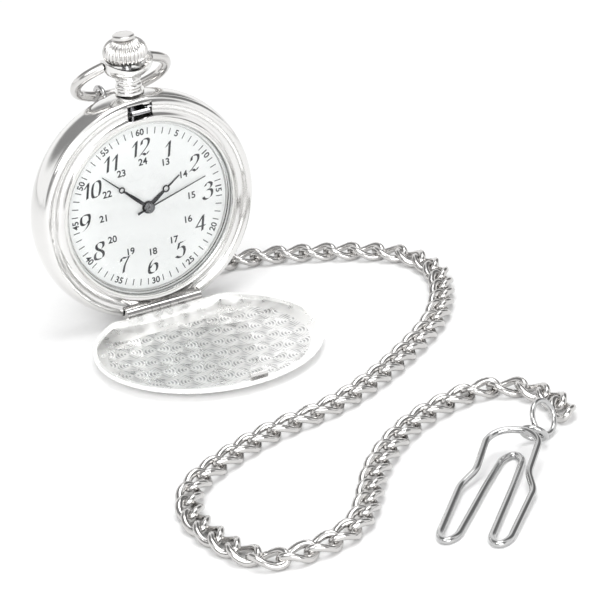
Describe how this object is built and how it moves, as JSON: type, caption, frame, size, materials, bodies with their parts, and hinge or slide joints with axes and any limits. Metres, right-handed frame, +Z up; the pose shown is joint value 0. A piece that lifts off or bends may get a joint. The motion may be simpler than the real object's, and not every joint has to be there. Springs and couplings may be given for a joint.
{
  "type": "pocket watch",
  "caption": "Hunter-cased quartz pocket watch with a white dial, onion crown and bow, standing on its open hinged cover with a curb chain and sprung wire clip.",
  "frame": {"origin": "middle of the watch's footprint on the ground, the chain left out", "axes": "+Z up through 12 o'clock and the crown, +X from 9 o'clock to 3 o'clock, -Y the way the dial looks"},
  "size_m": [0.0928, 0.1407, 0.0589],
  "materials": {
    "case_metal": "polished, silver tone",
    "hinge_metal": "polished",
    "spring_steel": "bright drawn",
    "glass": "clear, polished",
    "dial_enamel": "white satin enamel",
    "hand_black": "black lacquer",
    "gasket_rubber": "matte black",
    "ring_plastic": "moulded off-white",
    "movement_brass": "satin",
    "wheel_brass": "polished",
    "magnet_dark": "matte dark",
    "copper_wire": "enamelled winding",
    "cell_steel": "satin",
    "board_green": "solder mask",
    "chip_black": "moulded resin",
    "chain_steel": "polished, silver tone"
  },
  "bodies": {
    "case": {"case_middle": "case_metal", "bezel": "case_metal", "crystal": "glass", "crystal_gasket": "gasket_rubber", "caseback": "case_metal", "caseback_gasket": "gasket_rubber", "movement_ring": "ring_plastic", "dial": "dial_enamel", "pendant": "case_metal", "stem_seal": "gasket_rubber", "latch_pin": "hinge_metal", "latch_return_spring": "spring_steel", "cover_lift_spring": "spring_steel", "case_knuckle_1": "hinge_metal", "case_knuckle_2": "hinge_metal", "case_knuckle_3": "hinge_metal", "hinge_pin": "hinge_metal", "main_plate": "movement_brass", "train_bridge": "movement_brass", "bridge_screws": "spring_steel", "stator": "magnet_dark", "coil_core": "magnet_dark", "coil": "copper_wire", "battery_cell": "cell_steel", "battery_strap": "spring_steel", "circuit_board": "board_green", "circuit_chip": "chip_black", "quartz_can": "cell_steel", "setting_lever": "spring_steel", "chain_drop": "chain_steel", "chain_run": "chain_steel", "chain_end_ring": "chain_steel", "clip_ring": "chain_steel", "belt_clip": "chain_steel"},
    "cover": {"cover": "case_metal", "cover_catch": "case_metal", "cover_knuckle_1": "hinge_metal", "cover_knuckle_2": "hinge_metal"},
    "bow": {"bow": "case_metal", "bow_pins": "hinge_metal", "bow_ring": "chain_steel"},
    "push_sleeve": {"push_sleeve": "spring_steel"},
    "stem_collar": {"stem_collar": "spring_steel"},
    "crown": {"crown": "case_metal", "crown_cap": "case_metal", "stem": "spring_steel", "clutch_wheel": "spring_steel"},
    "latch": {"latch_lever": "spring_steel"},
    "seconds": {"seconds_wheel": "wheel_brass", "seconds_hand": "hand_black"},
    "minutes": {"centre_wheel": "wheel_brass", "minute_hand": "hand_black"},
    "hours": {"hour_wheel": "wheel_brass", "hour_hand": "hand_black"},
    "third": {"third_wheel": "wheel_brass"},
    "step": {"step_wheel": "wheel_brass"},
    "rotor": {"rotor": "magnet_dark"},
    "motion": {"motion_wheel": "wheel_brass"}
  },
  "joints": [
    {"name": "cover_hinge", "type": "hinge", "parent": "case", "child": "cover", "pos_m": [0, 0.01467, 0.0029], "axis": [1, 0, 0], "range_deg": [-90, 0], "stiffness_Nm_per_rad": 0.02, "springref_deg": 28.65},
    {"name": "bow_swing", "type": "hinge", "parent": "case", "child": "bow", "pos_m": [0, 0.01957, 0.0531], "axis": [1, 0, 0], "range_deg": [0, 250], "deforming": ["chain_drop"]},
    {"name": "crown_push", "type": "slide", "parent": "case", "child": "push_sleeve", "axis": [0, 0, 1], "range_m": [-0.0008, 0], "stiffness_N_per_m": 1500, "springref_m": 0.0004},
    {"name": "crown_pull", "type": "slide", "parent": "push_sleeve", "child": "stem_collar", "axis": [0, 0, 1], "range_m": [0, 0.0012]},
    {"name": "crown_turn", "type": "hinge", "parent": "stem_collar", "child": "crown", "pos_m": [0, 0.01957, 0.05], "axis": [0, 0, 1], "continuous": true},
    {"name": "latch_flex", "type": "hinge", "parent": "case", "child": "latch", "pos_m": [-0.01758, 0.01957, 0.03365], "axis": [0, -1, 0], "range_deg": [-2.8, 0]},
    {"name": "seconds_turn", "type": "hinge", "parent": "case", "child": "seconds", "pos_m": [0, 0.01867, 0.0235], "axis": [0, 1, 0], "continuous": true},
    {"name": "minute_turn", "type": "hinge", "parent": "case", "child": "minutes", "pos_m": [0, 0.01867, 0.0235], "axis": [0, 1, 0], "continuous": true},
    {"name": "hour_turn", "type": "hinge", "parent": "case", "child": "hours", "pos_m": [0, 0.01867, 0.0235], "axis": [0, 1, 0], "continuous": true},
    {"name": "third_turn", "type": "hinge", "parent": "case", "child": "third", "pos_m": [-0.00116, 0.01867, 0.02031], "axis": [0, 1, 0], "continuous": true},
    {"name": "step_turn", "type": "hinge", "parent": "case", "child": "step", "pos_m": [0.00303, 0.01867, 0.02175], "axis": [0, 1, 0], "continuous": true},
    {"name": "rotor_turn", "type": "hinge", "parent": "case", "child": "rotor", "pos_m": [0.00584, 0.01867, 0.02013], "axis": [0, 1, 0], "continuous": true},
    {"name": "motion_turn", "type": "hinge", "parent": "case", "child": "motion", "pos_m": [0, 0.01867, 0.0265], "axis": [0, 1, 0], "continuous": true}
  ],
  "couplings": [
    {"joint": "minute_turn", "follows": "seconds_turn", "ratio": 0.016667},
    {"joint": "hour_turn", "follows": "seconds_turn", "ratio": 0.0013889},
    {"joint": "third_turn", "follows": "seconds_turn", "ratio": -0.13333},
    {"joint": "motion_turn", "follows": "seconds_turn", "ratio": -0.0055556},
    {"joint": "step_turn", "follows": "seconds_turn", "ratio": -6},
    {"joint": "rotor_turn", "follows": "seconds_turn", "ratio": 30},
    {"joint": "latch_flex", "follows": "crown_push", "rad_per_m": 56.8}
  ]
}
